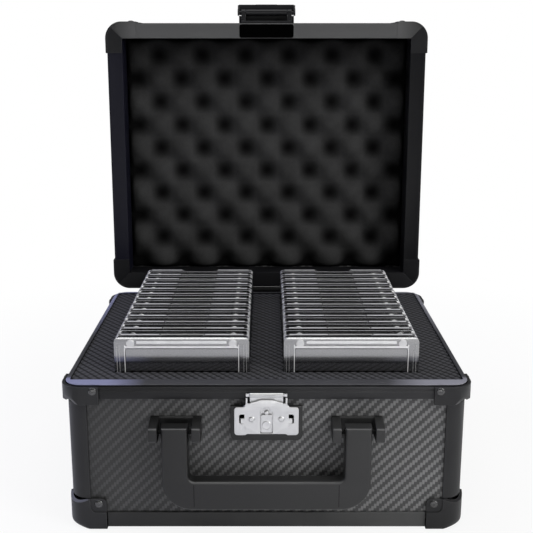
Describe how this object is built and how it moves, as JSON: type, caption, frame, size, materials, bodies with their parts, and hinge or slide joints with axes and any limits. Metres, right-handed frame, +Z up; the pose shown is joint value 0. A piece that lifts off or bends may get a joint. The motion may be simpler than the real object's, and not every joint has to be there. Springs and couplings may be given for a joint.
{
  "type": "carry case",
  "caption": "Hinged hard carry case with aluminium-edged twill panels, a drop handle, a folding latch, egg-crate lid foam and slotted foam holding upright clear card holders.",
  "frame": {"origin": "on the floor under the middle of the open case's overall box, which is 17.96 mm behind the middle of the base", "axes": "+Z up, -Y towards the case's front, +X to the right seen from the front"},
  "size_m": [0.2386, 0.26, 0.3087],
  "materials": {
    "twill_laminate": "black twill-weave laminate, satin",
    "black_board": "black lined board",
    "corner_steel": "black satin powder coat on pressed steel",
    "frame_extrusion": "black anodised, satin",
    "insert_foam": "closed-cell foam with an embossed woven top",
    "egg_crate_foam": "open-cell convoluted foam, matt",
    "clear_acrylic": "clear polished acrylic round a plain dark card",
    "handle_plastic": "fine-textured moulded plastic",
    "latch_black": "black satin coat on pressed steel",
    "satin_nickel": "satin nickel plate",
    "hinge_black": "black satin coat on pressed steel",
    "pin_steel": "dark plated steel"
  },
  "bodies": {
    "base": {"base_corner_cap_front_left": "corner_steel", "base_corner_cap_front_right": "corner_steel", "base_corner_cap_rear_left": "corner_steel", "base_corner_cap_rear_right": "corner_steel", "base_corner_post_front_left": "frame_extrusion", "base_corner_post_front_right": "frame_extrusion", "base_corner_post_rear_left": "frame_extrusion", "base_corner_post_rear_right": "frame_extrusion", "base_edge_front": "frame_extrusion", "base_edge_left": "frame_extrusion", "base_edge_rear": "frame_extrusion", "base_edge_right": "frame_extrusion", "base_floor_panel": "black_board", "base_hinge_leaf_left": "hinge_black", "base_hinge_leaf_right": "hinge_black", "base_panel_front": "twill_laminate", "base_panel_left": "twill_laminate", "base_panel_rear": "twill_laminate", "base_panel_right": "twill_laminate", "base_rim_corner_front_left": "corner_steel", "base_rim_corner_front_right": "corner_steel", "base_rim_corner_rear_left": "corner_steel", "base_rim_corner_rear_right": "corner_steel", "base_rim_front": "frame_extrusion", "base_rim_left": "frame_extrusion", "base_rim_rear": "frame_extrusion", "base_rim_right": "frame_extrusion", "foam_insert": "insert_foam", "handle_bracket_left": "handle_plastic", "handle_bracket_right": "handle_plastic", "handle_pin_left": "pin_steel", "handle_pin_right": "pin_steel", "hinge_pin_left": "pin_steel", "hinge_pin_right": "pin_steel", "latch_pad": "handle_plastic", "strike_plate": "satin_nickel"},
    "lid": {"latch_mount": "latch_black", "latch_pin": "pin_steel", "lid_corner_cap_front_left": "corner_steel", "lid_corner_cap_front_right": "corner_steel", "lid_corner_cap_rear_left": "corner_steel", "lid_corner_cap_rear_right": "corner_steel", "lid_egg_crate_foam": "egg_crate_foam", "lid_hinge_leaf_left": "hinge_black", "lid_hinge_leaf_right": "hinge_black", "lid_rim_corner_front_left": "corner_steel", "lid_rim_corner_front_right": "corner_steel", "lid_rim_corner_rear_left": "corner_steel", "lid_rim_corner_rear_right": "corner_steel", "lid_top_panel": "twill_laminate", "lid_wall_front": "frame_extrusion", "lid_wall_left": "frame_extrusion", "lid_wall_rear": "frame_extrusion", "lid_wall_right": "frame_extrusion"},
    "handle": {"carry_handle": "handle_plastic"},
    "latch_lever": {"latch_hook": "satin_nickel", "latch_lever": "latch_black"},
    "keeper": {"keeper_slide": "satin_nickel"},
    "card_row_left": {"card_row_left": "clear_acrylic"},
    "card_row_right": {"card_row_right": "clear_acrylic"}
  },
  "joints": [
    {"name": "lid_hinge", "type": "hinge", "parent": "base", "child": "lid", "pos_m": [0, 0.08484, 0.09225], "axis": [-1, 0, 0], "range_deg": [-91, 0]},
    {"name": "handle_swing", "type": "hinge", "parent": "base", "child": "handle", "pos_m": [0, -0.12496, 0.0662], "axis": [-1, 0, 0], "range_deg": [0, 95]},
    {"name": "latch_fold", "type": "hinge", "parent": "lid", "child": "latch_lever", "pos_m": [0, 0.09327, 0.30284], "axis": [1, 0, 0], "range_deg": [0, 180]},
    {"name": "keeper_travel", "type": "slide", "parent": "base", "child": "keeper", "axis": [0, 0, 1], "range_m": [0, 0.0015], "stiffness_N_per_m": 800, "springref_m": -0.001},
    {"name": "card_row_left_lift", "type": "slide", "parent": "base", "child": "card_row_left", "axis": [0, 0, 1], "range_m": [0, 0.095]},
    {"name": "card_row_right_lift", "type": "slide", "parent": "base", "child": "card_row_right", "axis": [0, 0, 1], "range_m": [0, 0.095]}
  ]
}
